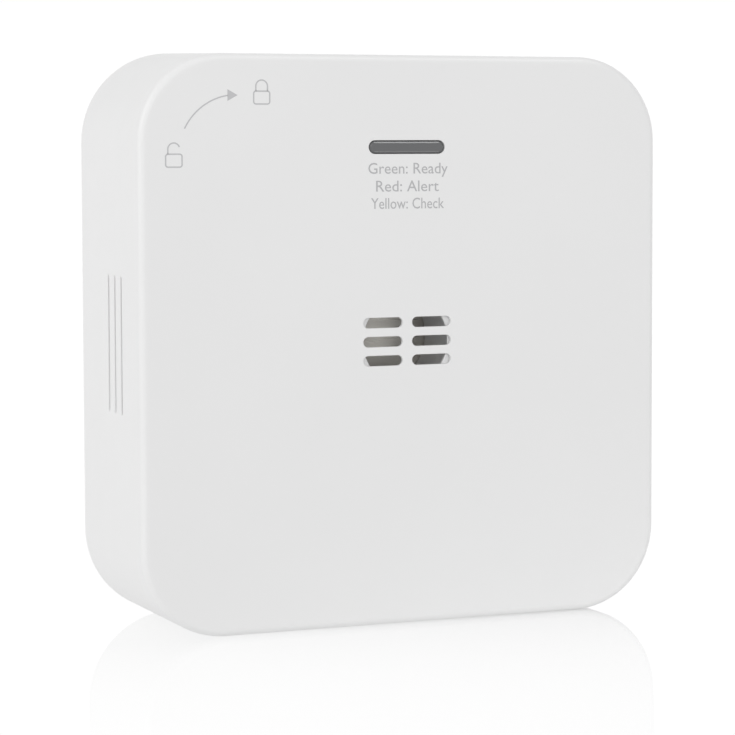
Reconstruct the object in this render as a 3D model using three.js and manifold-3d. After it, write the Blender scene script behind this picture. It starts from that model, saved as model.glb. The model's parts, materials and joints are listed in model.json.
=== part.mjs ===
// Carbon monoxide detector for a wall or a shelf: a square moulded housing with large corner radii, held on
// a mounting plate by a twist-lock. Behind the front are a sounder, an indicator bar, a gas sensor, a board
// and two AA cells, and a test button stands in the right-hand side.
//
// Millimetres, +Z up. X runs to the right and Y runs from the front towards the wall. The origin is on the
// resting surface, under the middle of the object. Every piece is drawn about the twist-lock's axis and
// lifted by half the housing's height.
import * as THREE from "three";
import { mergeVertices } from "three/addons/utils/BufferGeometryUtils.js";
import Module from "manifold-3d";

const wasm = await Module();
wasm.setup();
const rad = THREE.MathUtils.degToRad;

// ---------------------------------------------------------------- driving dimensions
const REAR_WIDTH = 100; // the housing's rear rim, its largest section
const REAR_HEIGHT = 103;
const DEPTH = 35; // front face to wall
const WALL_GAP = 0.4; // the rim stands off the wall so that the housing can turn
const DRAFT = Math.tan(rad(2)); // the sides widen towards the wall
const CORNER_R = 15.1;
const FRONT_FILLET = 1.2;
const WALL = 2;
const TWIST_DEG = 14; // from locked to free of the plate

const Y_FRONT = -DEPTH / 2;
const Y_WALL = DEPTH / 2;
const Y_RIM = Y_WALL - WALL_GAP;
const Y_INSIDE = Y_FRONT + WALL;
const CENTRE_Z = REAR_HEIGHT / 2;
const FRONT_WIDTH = REAR_WIDTH - 2 * DRAFT * (Y_RIM - Y_FRONT);
const FRONT_HEIGHT = REAR_HEIGHT - 2 * DRAFT * (Y_RIM - Y_FRONT);

// Openings in the housing
const WINDOW = { z: 34.2, length: 14.4, height: 2.4 };
const SLOT = { x: 4.6, length: 7.4, height: 1.85, rows: [-3.35, 0, 3.35], skin: 0.7 };
const VENT = { z: -0.15, length: 24.1, width: 1.2, depths: [-6.5, -2.8, 0.9] };
const BUTTON = { y: -2.8, z: 26.5, length: 13, width: 6, proud: 0.6 };

// Fixing points, as [x, z] from the twist-lock's axis
const CASE_POSTS = [[38, 39], [-38, 39], [-38, -39], [38, -39]];
const BOARD_POSTS = [[-37, -10], [37, -10], [-24, 37.5]];

// Layers from front to back
const BOARD = { front: -0.6, back: 1 };
const CHASSIS = { front: 13.1, back: 14.9, width: 94.6, height: 97.6, radius: 13.2 };
const PLATE = { front: 15.3, size: 80, radius: 18, pocket: 0.8, rim: 3, bore: 9 };

// Sounder, gas sensor, cells
const SOUNDER = { outer: 15.3, wall: 1.1, mouth: 8, front: -16.65, back: -1 };
const DISC = { radius: 13.5, front: -3.5, back: -3.25, ceramic: 8.2 };
const SEAT = { inner: 8.9, outer: 10.1 }; // the tube behind the mouth, which carries the disc
const SENSOR = { x: -30, z: 5, radius: 10 };
const CELL = { radius: 7.15, length: 50.5, nub: 1.2, y: 4.9, lowerZ: -39.6, upperZ: -24.6, minusX: 22.1 };
const BAY = { half: 29.2, low: -47.1, high: -16.9, floor: -2.6, wall: 1.2 };
const TAG_Z = { negative: -41, positive: -25.5 }; // where the contacts' tags leave the bay

// Twist-lock hooks stand on the plate at these angles, seen from the front, anticlockwise from +X
const HOOK = { angles: [0, 62, 118, 180], radius: 34, thick: 2.2, halfArc: 5, tab: 2.3, tabDepth: 1.2 };
const CLEAR = 0.3; // beside anything that turns or slides
const GAP = 0.2; // between pieces that rest on one another

// ---------------------------------------------------------------- solids
// A three.js geometry as a closed solid, with shared corners merged and collapsed triangles dropped.
function solid(geometry) {
  const plain = new THREE.BufferGeometry().setAttribute("position", geometry.attributes.position);
  plain.setIndex(geometry.index);
  const merged = mergeVertices(plain, 1e-4);
  const corners = [];
  const index = merged.index.array;
  for (let i = 0; i < index.length; i += 3) {
    const [a, b, c] = [index[i], index[i + 1], index[i + 2]];
    if (a !== b && b !== c && c !== a) corners.push(a, b, c);
  }
  const vertProperties = new Float32Array(merged.attributes.position.array);
  const triVerts = new Uint32Array(corners);
  return new wasm.Manifold(new wasm.Mesh({ numProp: 3, vertProperties, triVerts }));
}

const join = (...solids) => solids.flat().reduce((sum, next) => sum.add(next));
const cut = (from, ...tools) => tools.flat().reduce((rest, tool) => rest.subtract(tool), from);

function geometryOf(manifold) {
  const mesh = manifold.getMesh();
  const geometry = new THREE.BufferGeometry();
  geometry.setAttribute("position", new THREE.BufferAttribute(mesh.vertProperties, 3));
  geometry.setIndex(new THREE.BufferAttribute(mesh.triVerts, 1));
  geometry.computeVertexNormals();
  return geometry;
}

function box(x0, x1, y0, y1, z0, z1) {
  const geometry = new THREE.BoxGeometry(x1 - x0, y1 - y0, z1 - z0);
  return solid(geometry.translate((x0 + x1) / 2, (y0 + y1) / 2, (z0 + z1) / 2));
}

// A round bar along the depth, at [x, z].
function rod([x, z], radius, y0, y1, sides = 12) {
  const geometry = new THREE.CylinderGeometry(radius, radius, y1 - y0, sides);
  return solid(geometry.translate(x, (y0 + y1) / 2, z));
}

// A profile of [radius, y] points turned about the depth axis through [x, z].
function turned(profile, [x, z] = [0, 0], sides = 20) {
  const points = profile.map(([radius, y]) => new THREE.Vector2(radius, y));
  const shape = solid(new THREE.LatheGeometry(points, sides));
  const outward = shape.volume() > 0 ? shape : solid(new THREE.LatheGeometry(points.reverse(), sides));
  return outward.translate(x, 0, z);
}

// An outline in the X-Z plane, carried along the depth from y0 to y1.
function prism(shape, y0, y1, curveSegments = 2) {
  const geometry = new THREE.ExtrudeGeometry(shape, { depth: y1 - y0, bevelEnabled: false, curveSegments });
  return solid(geometry.rotateX(Math.PI / 2).translate(0, y1, 0));
}

// The same outline laid in the side wall: its x becomes the depth and its y the height, from x0 to x1.
function sidePrism(shape, x0, x1, curveSegments = 2) {
  const geometry = new THREE.ExtrudeGeometry(shape, { depth: x1 - x0, bevelEnabled: false, curveSegments });
  return solid(geometry.rotateX(Math.PI / 2).rotateZ(Math.PI / 2).translate(x0, 0, 0));
}

function roundedRect(width, height, radius, x = 0, z = 0) {
  const [w, h, r] = [width / 2, height / 2, radius];
  const shape = new THREE.Shape();
  shape.absarc(x + w - r, z + h - r, r, 0, Math.PI / 2);
  shape.absarc(x - w + r, z + h - r, r, Math.PI / 2, Math.PI);
  shape.absarc(x - w + r, z - h + r, r, Math.PI, 1.5 * Math.PI);
  shape.absarc(x + w - r, z - h + r, r, 1.5 * Math.PI, 2 * Math.PI);
  return shape;
}

const pill = (length, height, x = 0, z = 0) => roundedRect(length, height, height / 2 - 0.001, x, z);
const uprightPill = (length, width, x, z) => roundedRect(width, length, width / 2 - 0.001, x, z);

// A band of a ring in the X-Z plane, between two radii and two angles in degrees.
function ringBand(inner, outer, from, to) {
  const shape = new THREE.Shape();
  shape.absarc(0, 0, outer, rad(from), rad(to), false);
  shape.absarc(0, 0, inner, rad(to), rad(from), true);
  return shape;
}

// A round bar bent along a smooth curve through the given points.
function wire(points, radius, steps, sides = 8) {
  const path = new THREE.CatmullRomCurve3(points.map((p) => new THREE.Vector3(...p)));
  const section = new THREE.Shape().absarc(0, 0, radius, 0, 2 * Math.PI);
  return solid(new THREE.ExtrudeGeometry(section, { steps, extrudePath: path, curveSegments: sides / 2 }));
}

// A rounded block whose sides widen towards the wall. Its width, height and corner radius are those of its
// front outline, and every section further back is that outline moved outwards.
function draftedBlock(width, height, radius, yFront, yBack, fillet, curveSegments) {
  const shape = roundedRect(width - 2 * fillet, height - 2 * fillet, radius - fillet);
  const geometry = new THREE.ExtrudeGeometry(shape, {
    depth: yBack - yFront,
    bevelEnabled: fillet > 0,
    bevelThickness: fillet,
    bevelSize: fillet,
    bevelSegments: 3,
    curveSegments,
  });
  geometry.rotateX(Math.PI / 2).translate(0, yBack + fillet, 0);
  const [coreX, coreZ] = [width / 2 - radius, height / 2 - radius];
  const at = geometry.attributes.position;
  for (let i = 0; i < at.count; i++) {
    const growth = Math.max(0, at.getY(i) - yFront) * DRAFT;
    const outX = at.getX(i) - THREE.MathUtils.clamp(at.getX(i), -coreX, coreX);
    const outZ = at.getZ(i) - THREE.MathUtils.clamp(at.getZ(i), -coreZ, coreZ);
    const length = Math.hypot(outX, outZ);
    at.setX(i, at.getX(i) + (growth * outX) / length);
    at.setZ(i, at.getZ(i) + (growth * outZ) / length);
  }
  const upToBack = box(-REAR_WIDTH, REAR_WIDTH, yFront - 1, yBack, -REAR_HEIGHT, REAR_HEIGHT);
  return solid(geometry).intersect(upToBack);
}

// ---------------------------------------------------------------- housing
function frontHousing() {
  const [innerWidth, innerHeight] = [FRONT_WIDTH - 2 * WALL, FRONT_HEIGHT - 2 * WALL];
  const shell = cut(
    draftedBlock(FRONT_WIDTH, FRONT_HEIGHT, CORNER_R, Y_FRONT, Y_RIM, FRONT_FILLET, 4),
    draftedBlock(innerWidth, innerHeight, CORNER_R - WALL, Y_INSIDE, Y_RIM + 1, 0, 3),
  );
  const caseHole = { radius: 1.5, bottom: 1.5, top: 11.3 };
  const boardHole = { radius: 1.25, bottom: -8, top: BOARD.front - 0.2 };
  const posts = join(
    CASE_POSTS.map((at) => rod(at, 3.4, Y_INSIDE - 0.5, caseHole.top)),
    BOARD_POSTS.map((at) => rod(at, 2.8, Y_INSIDE - 0.5, boardHole.top)),
  );
  const postHoles = join(
    CASE_POSTS.map((at) => rod(at, caseHole.radius, caseHole.bottom, caseHole.top + 1)),
    BOARD_POSTS.map((at) => rod(at, boardHole.radius, boardHole.bottom, boardHole.top + 1)),
  );
  const window = prism(pill(WINDOW.length, WINDOW.height, 0, WINDOW.z), Y_FRONT - 1, Y_INSIDE + 1);
  const soundPocket = rod([0, 0], SOUNDER.outer + CLEAR, Y_FRONT + SLOT.skin, Y_INSIDE + 1, 24);
  const slots = SLOT.rows.flatMap((z) =>
    [-SLOT.x, SLOT.x].map((x) => prism(pill(SLOT.length, SLOT.height, x, z), Y_FRONT - 1, Y_INSIDE)),
  );
  const outside = REAR_WIDTH / 2 + 1;
  const inside = FRONT_WIDTH / 2 - 2 * WALL;
  const vents = VENT.depths.flatMap((y) => {
    const shape = uprightPill(VENT.length, VENT.width, y, VENT.z);
    return [sidePrism(shape, inside, outside, 1), sidePrism(shape, -outside, -inside, 1)];
  });
  const buttonShape = uprightPill(BUTTON.length + CLEAR, BUTTON.width + CLEAR, BUTTON.y, BUTTON.z);
  const buttonHole = sidePrism(buttonShape, inside, outside);
  return cut(join(shell, posts), postHoles, window, soundPocket, slots, vents, buttonHole);
}

function rearChassis() {
  const { front, back, width, height, radius } = CHASSIS;
  const { half, low, high, floor, wall } = BAY;
  const skirtDepth = 3;
  const skirtWall = 1.3;
  const inner = [width - 2 * skirtWall, height - 2 * skirtWall, radius - skirtWall];
  const panel = prism(roundedRect(width, height, radius), front, back, 3);
  const skirt = cut(
    prism(roundedRect(width, height, radius), front - skirtDepth, front + 0.1, 3),
    prism(roundedRect(...inner), front - skirtDepth - 1, front + 1, 3),
  );
  const bay = box(-half - wall, half + wall, floor - wall, front + 0.1, low - wall, high + wall);
  const bayHollow = box(-half, half, floor, back + 1, low, high);
  const cradle = box(-18, 18, floor - 0.1, 2.2, -32.7, -31.5);
  const cups = CASE_POSTS.map((at) => rod(at, 4.4, front - 1.6, back - 0.01));
  const headRooms = CASE_POSTS.map((at) => rod(at, 3.3, front - 0.3, back + 1));
  const shankRooms = CASE_POSTS.map((at) => rod(at, 1.7, front - 3, back));
  const pivotOuter = rod([0, 0], PLATE.bore - 0.4, back - 0.1, back + 1.7, 24);
  const pivot = cut(pivotOuter, rod([0, 0], 6.4, back, back + 3, 18));
  const tagSlots = Object.values(TAG_Z).map((z) =>
    box(-half - 0.1, 1 - half, floor - 2, floor + 0.5, z - 1.6, z + 1.6),
  );
  const solids = join(panel, skirt, bay, cups, pivot);
  return cut(solids, bayHollow, headRooms, shankRooms, hookSlots(), tagSlots).add(cradle);
}

// Each hook enters the wide end of its slot, and the housing then turns until the hook's tab is behind the
// narrow end.
function hookSlots() {
  const { angles, radius, thick, halfArc, tab } = HOOK;
  const inner = radius - thick / 2 - 0.4;
  const spare = 1; // degrees beyond the hook at each end
  return angles.flatMap((angle) => {
    const free = angle - TWIST_DEG;
    const from = free - halfArc - spare;
    const narrow = ringBand(inner, radius + thick / 2 + 0.4, from, angle + halfArc + spare);
    const wide = ringBand(inner, radius + thick / 2 + tab + 0.5, from, free + halfArc + spare);
    return [narrow, wide].map((shape) => prism(shape, CHASSIS.front - 1, CHASSIS.back + 1, 3));
  });
}

// ---------------------------------------------------------------- mounting plate
function mountingPlate() {
  const { front, size, radius, pocket, rim, bore } = PLATE;
  const panel = prism(roundedRect(size, size, radius), front, Y_WALL, 4);
  const innerSize = size - 2 * rim;
  const hollow = prism(roundedRect(innerSize, innerSize, radius - rim), Y_WALL - pocket, Y_WALL + 1, 3);
  const centres = [[26, 0], [-26, 0], [0, 26], [0, -26]];
  const slotAt = ([x, z], length, width) =>
    x === 0 ? pill(length, width, x, z) : uprightPill(length, width, x, z);
  const pads = centres.map((at) => prism(slotAt(at, 18, 12), front + 0.5, Y_WALL));
  const hub = rod([0, 0], bore + 3, front + 0.5, Y_WALL, 24);
  const screwSlots = centres.map((at) => prism(slotAt(at, 11, 4.6), front - 1, Y_WALL + 1));
  const headRooms = centres.map((at) => prism(slotAt(at, 15, 9), front - 1, front + 1.1));
  const hooks = HOOK.angles.map(hook);
  const boreHole = rod([0, 0], bore, front - 1, Y_WALL + 1, 24);
  return cut(join(cut(panel, hollow), pads, hub, hooks), screwSlots, headRooms, boreHole);
}

function hook(angle) {
  const { radius, thick, halfArc, tab, tabDepth } = HOOK;
  const [from, to] = [angle - halfArc, angle + halfArc];
  const tabFront = CHASSIS.front - CLEAR - tabDepth;
  const neck = ringBand(radius - thick / 2, radius + thick / 2, from, to);
  const foot = ringBand(radius - thick / 2, radius + thick / 2 + tab, from, to);
  return join(prism(neck, tabFront, PLATE.front + 0.1), prism(foot, tabFront, tabFront + tabDepth));
}

// ---------------------------------------------------------------- indicators and switch
function indicatorLens() {
  const { z, length, height } = WINDOW;
  const bar = prism(pill(length - 0.2, height - 0.2, 0, z), Y_FRONT + 0.15, Y_INSIDE + 0.2);
  const flange = prism(pill(length + 2.2, height + 2.2, 0, z), Y_INSIDE + GAP, Y_INSIDE + 1.1);
  return join(bar, flange);
}

function ledShroud() {
  const [y0, y1] = [Y_INSIDE + 1.3, BOARD.front - 0.3];
  const frame = (w, h, a, b) => box(-w / 2, w / 2, a, b, WINDOW.z - h / 2, WINDOW.z + h / 2);
  const tunnel = cut(frame(16.4, 7, y0, y1), frame(14.4, 5, y0 - 1, y1 + 1));
  const dividers = [-2.3, 2.3].map((x) => frame(0.5, 5.2, y0 + 3, y1).translate(x, 0, 0));
  return join(tunnel, dividers);
}

// A 3 mm lamp that stands on the board and points to the front, drawn from its own foot.
const LAMP = [[0, 0], [1.8, 0], [1.8, -1], [1.5, -1], [1.5, -4], [1.06, -5.06], [0, -5.5]];
const lamp = () => turned(LAMP, [0, 0], 12);

function testSwitch() {
  const body = box(38.3, 42.6, -4.9, BOARD.front - GAP, BUTTON.z - 3, BUTTON.z + 3);
  return cut(body, alongX(1.5, 40, 43));
}

// A round bar along X on the button's axis.
function alongX(radius, x0, x1) {
  const geometry = new THREE.CylinderGeometry(radius, radius, x1 - x0, 12).rotateZ(Math.PI / 2);
  return solid(geometry.translate((x0 + x1) / 2, BUTTON.y, BUTTON.z));
}

function testButton() {
  const face = FRONT_WIDTH / 2 + DRAFT * (BUTTON.y - Y_FRONT) + BUTTON.proud;
  const shape = uprightPill(BUTTON.length, BUTTON.width, BUTTON.y, BUTTON.z);
  const crown = uprightPill(BUTTON.length - 0.8, BUTTON.width - 0.8, BUTTON.y, BUTTON.z);
  const flange = uprightPill(BUTTON.length + 2.4, BUTTON.width + 2.4, BUTTON.y, BUTTON.z);
  return join(
    sidePrism(shape, 46.5, face - 0.35),
    sidePrism(crown, face - 0.5, face),
    sidePrism(flange, 45.7, 46.75),
    alongX(1.8, 44.4, 45.8),
  );
}

// ---------------------------------------------------------------- board and what stands on it
// Small parts soldered flat on the board's front: [x, z, width, height].
const CHIPS = [
  [-20, 28, 5, 2.2], [-12, 27, 3, 1.6], [12, 26, 3, 1.6], [22, 30, 5, 4], [30, 22, 3, 1.6], [30, 0, 3, 1.6],
  [-30, 24, 3, 1.6],
];

function circuitBoard() {
  const main = prism(roundedRect(86, 49, 3, 0, 10), BOARD.front, BOARD.back, 3);
  const tongue = prism(roundedRect(62, 12, 2, 0, 36), BOARD.front, BOARD.back, 3);
  const chips = CHIPS.map(([x, z, w, h]) =>
    box(x - w / 2, x + w / 2, BOARD.front - 1, BOARD.front + 0.1, z - h / 2, z + h / 2),
  );
  const holes = BOARD_POSTS.map((at) => rod(at, 1.4, BOARD.front - 1, BOARD.back + 1));
  return cut(join(main, tongue, chips), holes);
}

function microcontroller() {
  const y = BOARD.back + GAP;
  const body = box(-20, -10, y, y + 1.6, 15, 22);
  const legs = [];
  for (let i = 0; i < 7; i++) {
    const x = -18.9 + i * 1.3;
    legs.push(box(x, x + 0.5, y, y + 0.5, 13.6, 23.4));
  }
  return join(body, legs);
}

// A bobbin on the board's front and a can on its back.
const COIL = [[0, -0.9], [4, -0.9], [4, -1.9], [3, -1.9], [3, -6.4], [4, -6.4], [4, -7.4], [0, -7.4]];
const CAN = [[0, 1.3], [3.1, 1.3], [3.15, 2.2], [2.9, 2.5], [3.15, 2.8], [3.15, 9.6], [2.8, 10], [0, 10]];
const boostCoil = () => turned(COIL, [28, 12], 14);
const capacitor = () => turned(CAN, [18, 20], 14);

function sensorCan() {
  const { x, z, radius: r } = SENSOR;
  const profile = [[0, -0.9], [r + 0.6, -0.9], [r + 0.6, -2.1], [r, -2.1], [r, -13], [0, -13]];
  return turned(profile, [x, z]);
}

function sensorCap() {
  const { x, z, radius: r } = SENSOR;
  const profile = [[3, -13.2], [r, -13.2], [r, -14.4], [r - 0.6, -15], [3, -15], [3, -13.2]];
  return turned(profile, [x, z]);
}

// ---------------------------------------------------------------- sounder
// A cup with its mouth behind the housing's slots. The disc stands on the end of a tube inside the cup.
function sounderChamber() {
  const { outer, wall, mouth, front, back } = SOUNDER;
  const plateBack = front + 1.1;
  const seat = DISC.front - GAP;
  const profile = [
    [mouth, front], [outer, front], [outer, back], [outer - wall, back], [outer - wall, plateBack],
    [SEAT.outer, plateBack], [SEAT.outer, seat], [SEAT.inner, seat], [SEAT.inner, plateBack],
    [mouth, front + 0.4], [mouth, front],
  ];
  return turned(profile, [0, 0], 24);
}

const sounderDisc = () => rod([0, 0], DISC.radius, DISC.front, DISC.back, 24);
const sounderCeramic = () => rod([0, 0], DISC.ceramic, DISC.back + 0.1, DISC.back + 0.4, 24);

// A foam ring that the board presses on the back of the disc.
function sounderGasket() {
  const [y0, y1] = [DISC.back + GAP, BOARD.front - GAP];
  return turned([[8.6, y0], [11, y0], [11, y1], [8.6, y1], [8.6, y0]]);
}

// Two short leads at the back of the disc, from its ceramic and from its rim to the front of the board.
const SOUND_LEADS = {
  signal: [[1, -2.35, 0.5], [2.6, -2.3, 0.5], [4.2, -1.6, 0.5], [5.6, -1.1, 0.5]],
  ground: [[11.9, -2.72, -1.5], [12.4, -2.5, 0], [12.4, -1.7, 1.6], [11.9, -1.1, 3]],
};
const soundLead = (points) => wire(points, 0.38, 12, 6);

// ---------------------------------------------------------------- cells and contacts
// An AA cell lying along X, drawn from its negative end.
function cell() {
  const { radius: r, length, nub } = CELL;
  const shoulder = length - nub;
  const profile = [
    [0, 0], [r - 0.9, 0], [r - 0.6, 0.4], [r, 0.9], [r, shoulder - 0.8], [r - 0.8, shoulder],
    [2.75, shoulder], [2.6, length], [0, length],
  ];
  return turned(profile).rotate([0, 0, -90]);
}

// Nickel strips at the ends of the bay. The two on the left have a tag that leaves through the bay's floor.
function contacts() {
  const x = BAY.half - 0.4;
  const strip = (at, z0, z1) => box(at - 0.2, at + 0.2, -1, 11, z0, z1);
  const tag = (z) => box(-x - 0.2, -x + 0.2, -5.6, -0.9, z - 1.2, z + 1.2);
  return {
    negative: join(strip(-x, CELL.lowerZ - 6, CELL.lowerZ + 6), tag(TAG_Z.negative)),
    positive: join(strip(-x, CELL.upperZ - 6, CELL.upperZ + 6), tag(TAG_Z.positive)),
    link: strip(x, CELL.lowerZ - 6, CELL.upperZ + 6),
  };
}

// A conical contact spring along X, drawn from its strip.
function contactSpring() {
  const turns = 4;
  const points = [];
  for (let i = 0; i <= turns * 8; i++) {
    const share = i / (turns * 8);
    const radius = 4.6 - 1.9 * share;
    const angle = share * turns * 2 * Math.PI;
    points.push([0.5 + 5.2 * share, radius * Math.cos(angle), radius * Math.sin(angle)]);
  }
  return wire(points, 0.4, turns * 9, 6);
}

// The leads run from the contacts' tags, in front of the bay, to the front of the board.
const BATTERY_LEADS = {
  black: [
    [-27.6, -4.9, -42], [-27.4, -5.2, -37.5], [-25.2, -5.3, -30], [-24.5, -5.3, -20], [-24.5, -4.4, -14],
    [-24.5, -1.6, -11.5],
  ],
  red: [[-27.6, -4.9, -26.5], [-27.8, -5.2, -21.5], [-28.6, -4.9, -15.5], [-29, -1.6, -11.5]],
};
const batteryLead = (points) => wire(points, 0.7, 12, 6);

// ---------------------------------------------------------------- screws
// A cross-head screw, drawn with the top of its head at y 0 and its point towards the front.
function screw(headRadius, headDepth, shankRadius, length) {
  const profile = [
    [0, 0], [headRadius - 0.5, 0], [headRadius, -0.5], [headRadius, -headDepth],
    [shankRadius, -headDepth], [shankRadius, 1 - length], [0.2, -length], [0, -length],
  ];
  const shape = turned(profile, [0, 0], 12);
  const arm = headRadius * 0.62;
  const cross = [box(-arm, arm, -0.9, 1, -0.35, 0.35), box(-0.35, 0.35, -0.9, 1, -arm, arm)];
  return cut(shape, cross);
}

// ---------------------------------------------------------------- materials
function finish(color, roughness, metalness = 0) {
  return new THREE.MeshStandardMaterial({ color, roughness, metalness });
}

const white = finish(0xe9e9e8, 0.42);
const innerWhite = finish(0xe2e2de, 0.55);
const smoked = finish(0x55575b, 0.15);
const boardGreen = finish(0x1d5a38, 0.5);
const black = finish(0x202022, 0.6);
const steel = finish(0xb9bbbd, 0.3, 1);
const nickelSilver = finish(0xccc9c2, 0.3, 1);
const ceramic = finish(0xa9a7a2, 0.45);
const copper = finish(0xa8622d, 0.4, 1);
const foam = finish(0x3a3a3c, 0.95);
const cellSleeve = finish(0x3f6f8c, 0.35);
const lampGreen = finish(0x7ed09a, 0.2);
const lampRed = finish(0xd98080, 0.2);
const lampYellow = finish(0xe6d37a, 0.2);
const whiteLead = finish(0xd8d6d0, 0.45);
const redLead = finish(0xb3261e, 0.45);
const blackLead = finish(0x262628, 0.45);

// ---------------------------------------------------------------- assembly
const object = new THREE.Group();
const aboutAxis = new THREE.Group();
aboutAxis.position.z = CENTRE_Z;
object.add(aboutAxis);

function place(name, shape, material, position = [0, 0, 0], turnZ = 0) {
  const mesh = new THREE.Mesh(geometryOf(shape), material);
  mesh.name = name;
  mesh.position.set(...position);
  mesh.rotation.z = turnZ;
  aboutAxis.add(mesh);
}

place("mounting_plate", mountingPlate(), innerWhite);
place("front_housing", frontHousing(), white);
place("rear_chassis", rearChassis(), innerWhite);
place("indicator_lens", indicatorLens(), smoked);
place("led_shroud", ledShroud(), innerWhite);

const lampShape = lamp();
const lamps = { led_green: [-4.6, lampGreen], led_red: [0, lampRed], led_yellow: [4.6, lampYellow] };
for (const [name, [x, material]] of Object.entries(lamps)) {
  place(name, lampShape, material, [x, BOARD.front - GAP, WINDOW.z]);
}

place("test_button", testButton(), white);
place("switch_plunger", alongX(1.1, 41.3, 44.2), black);
place("test_switch", testSwitch(), black);

place("circuit_board", circuitBoard(), boardGreen);
place("microcontroller", microcontroller(), black);
place("boost_coil", boostCoil(), copper);
place("capacitor", capacitor(), black);
place("co_sensor_can", sensorCan(), steel);
place("co_sensor_cap", sensorCap(), black);

place("sounder_chamber", sounderChamber(), white);
place("sounder_disc", sounderDisc(), nickelSilver);
place("sounder_ceramic", sounderCeramic(), ceramic);
place("sounder_gasket", sounderGasket(), foam);
place("sounder_lead_signal", soundLead(SOUND_LEADS.signal), whiteLead);
place("sounder_lead_ground", soundLead(SOUND_LEADS.ground), blackLead);

const screenX = FRONT_WIDTH / 2 - WALL - 0.9;
const screen = box(-0.25, 0.25, -9.5, 3.8, VENT.z - 14, VENT.z + 14);
place("vent_screen_left", screen, steel, [-screenX, 0, 0]);
place("vent_screen_right", screen, steel, [screenX, 0, 0]);

const cellShape = cell();
place("battery_lower", cellShape, cellSleeve, [-CELL.minusX, CELL.y, CELL.lowerZ]);
place("battery_upper", cellShape, cellSleeve, [CELL.minusX, CELL.y, CELL.upperZ], Math.PI);
const strips = contacts();
place("contact_negative", strips.negative, steel);
place("contact_positive", strips.positive, steel);
place("contact_link", strips.link, steel);
const spring = contactSpring();
place("contact_spring_lower", spring, steel, [-BAY.half + 0.8, CELL.y, CELL.lowerZ]);
place("contact_spring_upper", spring, steel, [BAY.half - 0.8, CELL.y, CELL.upperZ], Math.PI);
place("battery_lead_red", batteryLead(BATTERY_LEADS.red), redLead);
place("battery_lead_black", batteryLead(BATTERY_LEADS.black), blackLead);

const caseScrew = screw(2.8, 1.6, 1.25, 11.5);
CASE_POSTS.forEach(([x, z], i) => {
  place(`case_screw_${i + 1}`, caseScrew, steel, [x, CHASSIS.back - 0.2, z]);
});
const boardScrew = screw(2.3, 1.4, 1, 8);
BOARD_POSTS.forEach(([x, z], i) => {
  place(`board_screw_${i + 1}`, boardScrew, steel, [x, BOARD.back + 1.6, z]);
});

export default object;
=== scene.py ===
import json
import math

import bmesh
import bpy
from mathutils import Matrix, Vector


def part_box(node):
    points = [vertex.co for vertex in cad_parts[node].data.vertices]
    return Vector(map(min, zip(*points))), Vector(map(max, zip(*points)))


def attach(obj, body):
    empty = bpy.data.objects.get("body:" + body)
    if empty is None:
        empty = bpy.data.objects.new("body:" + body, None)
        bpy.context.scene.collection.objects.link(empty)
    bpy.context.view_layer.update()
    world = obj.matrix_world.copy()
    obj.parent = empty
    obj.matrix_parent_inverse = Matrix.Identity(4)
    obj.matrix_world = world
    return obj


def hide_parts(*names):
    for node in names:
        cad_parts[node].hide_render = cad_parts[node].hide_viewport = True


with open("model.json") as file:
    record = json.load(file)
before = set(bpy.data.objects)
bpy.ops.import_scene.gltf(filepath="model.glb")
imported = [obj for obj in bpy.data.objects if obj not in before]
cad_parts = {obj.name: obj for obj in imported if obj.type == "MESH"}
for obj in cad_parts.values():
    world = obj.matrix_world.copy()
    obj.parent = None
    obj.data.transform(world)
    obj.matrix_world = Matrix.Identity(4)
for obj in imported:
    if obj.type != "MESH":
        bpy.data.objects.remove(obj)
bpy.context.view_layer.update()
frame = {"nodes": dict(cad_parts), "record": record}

MM = 0.001


# ---------------------------------------------------------------- sizes taken from the frame, in millimetres
def node_box(node):
    low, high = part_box(node)
    return low / MM, high / MM


housing_low, housing_high = node_box("front_housing")
lens_low, lens_high = node_box("indicator_lens")
button_low, button_high = node_box("test_button")
disc_low, disc_high = node_box("sounder_disc")
ceramic_low, ceramic_high = node_box("sounder_ceramic")
chamber_low, chamber_high = node_box("sounder_chamber")
PLATE_BACK = node_box("mounting_plate")[1].y
PIVOT_TOP = node_box("rear_chassis")[1].y

AXIS_Z = (housing_low.z + housing_high.z) / 2
FRONT_Y = housing_low.y
RIM_Y = housing_high.y
DEPTH = RIM_Y - FRONT_Y
DRAFT_ANGLE = math.radians(2)  # the sides lean out by this towards the wall
DRAFT = math.tan(DRAFT_ANGLE)
FRONT_WIDTH = housing_high.x - housing_low.x - 2 * DRAFT * DEPTH
FRONT_HEIGHT = housing_high.z - housing_low.z - 2 * DRAFT * DEPTH
WINDOW_Z = (lens_low.z + lens_high.z) / 2 - AXIS_Z
BUTTON_Y = (button_low.y + button_high.y) / 2
BUTTON_Z = (button_low.z + button_high.z) / 2 - AXIS_Z

# ---------------------------------------------------------------- sizes of the finer features
CORNER_RADIUS = 15.1
FRONT_FILLET = 1.2
RIM_ROUNDING = 0.3
WALL = 2.0
PRINT_HEIGHT = 0.02  # the printing stands this far off the front face
FACE_Y = FRONT_Y + PRINT_HEIGHT
WINDOW_LENGTH = 14.4
WINDOW_HEIGHT = 2.4
SLOT_X = 4.6
SLOT_LENGTH = 7.4
SLOT_HEIGHT = 1.85
SLOT_ROWS = (-3.35, 0.0, 3.35)
SLOT_SKIN = 0.7  # what is left of the front wall over the sounder
SLOT_POCKET_RADIUS = 15.6
FRONT_OPENING_ROUNDING = 0.08
VENT_DEPTHS = (-6.5, -2.8, 0.9)
VENT_LENGTH = 24.1
VENT_WIDTH = 0.9  # narrower than the CAD model's 1.2
VENT_Z = -0.15
SIDE_OPENING_ROUNDING = 0.7
SHARP_TURN = 1.0  # radians, about 57 degrees
SQUARE_CORNER = 0.01  # a corner radius too small to see
OVERRUN = 1  # a cutting solid runs this far past the surface that it opens
BUTTON_LENGTH = 13
BUTTON_WIDTH = 6
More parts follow.
